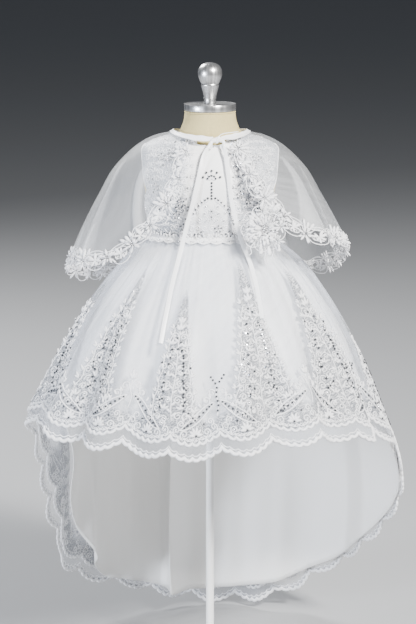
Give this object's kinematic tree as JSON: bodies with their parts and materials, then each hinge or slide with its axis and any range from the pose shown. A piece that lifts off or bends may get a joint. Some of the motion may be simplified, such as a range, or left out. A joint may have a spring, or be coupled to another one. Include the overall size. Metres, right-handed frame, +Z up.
{
  "type": "christening gown on a dress form",
  "caption": "High-low christening gown of satin and embroidered organza with a lace-edged short cape, on a child's dress form with a neck cap, pole and round base.",
  "frame": {"origin": "centre of the underside of the stand's round base, on the floor", "axes": "+Z up along the pole, -Y towards the gown's front, +X towards the viewer's right when facing the front"},
  "size_m": [0.5727, 0.5221, 0.9206],
  "materials": {
    "white_paint": "satin white paint",
    "form_cloth": "fine woven cream jersey",
    "polished_metal": "polished",
    "white_satin": "soft satin",
    "white_lace": "matt embroidered lace",
    "embroidered_organza": "sheer organza with raised embroidery",
    "organza": "sheer organza",
    "satin_ribbon": "satin ribbon"
  },
  "bodies": {
    "root": {"form_base": "white_paint", "form_pole": "white_paint", "form_body": "form_cloth", "form_neck_cap": "polished_metal", "form_finial": "polished_metal", "bodice_front": "white_satin", "bodice_back_left": "white_satin", "bodice_back_right": "white_satin", "back_button_1": "white_satin", "back_button_2": "white_satin", "back_button_3": "white_satin", "back_button_4": "white_satin", "waist_lace": "white_lace", "satin_front": "white_satin", "satin_train": "white_satin", "overskirt_front": "embroidered_organza", "overskirt_train": "embroidered_organza", "cape_body": "organza", "cape_lace": "white_lace", "cape_rosette": "white_lace", "neck_binding": "satin_ribbon", "tie_knot": "satin_ribbon", "tie_left": "satin_ribbon", "tie_right": "satin_ribbon"}
  },
  "joints": []
}
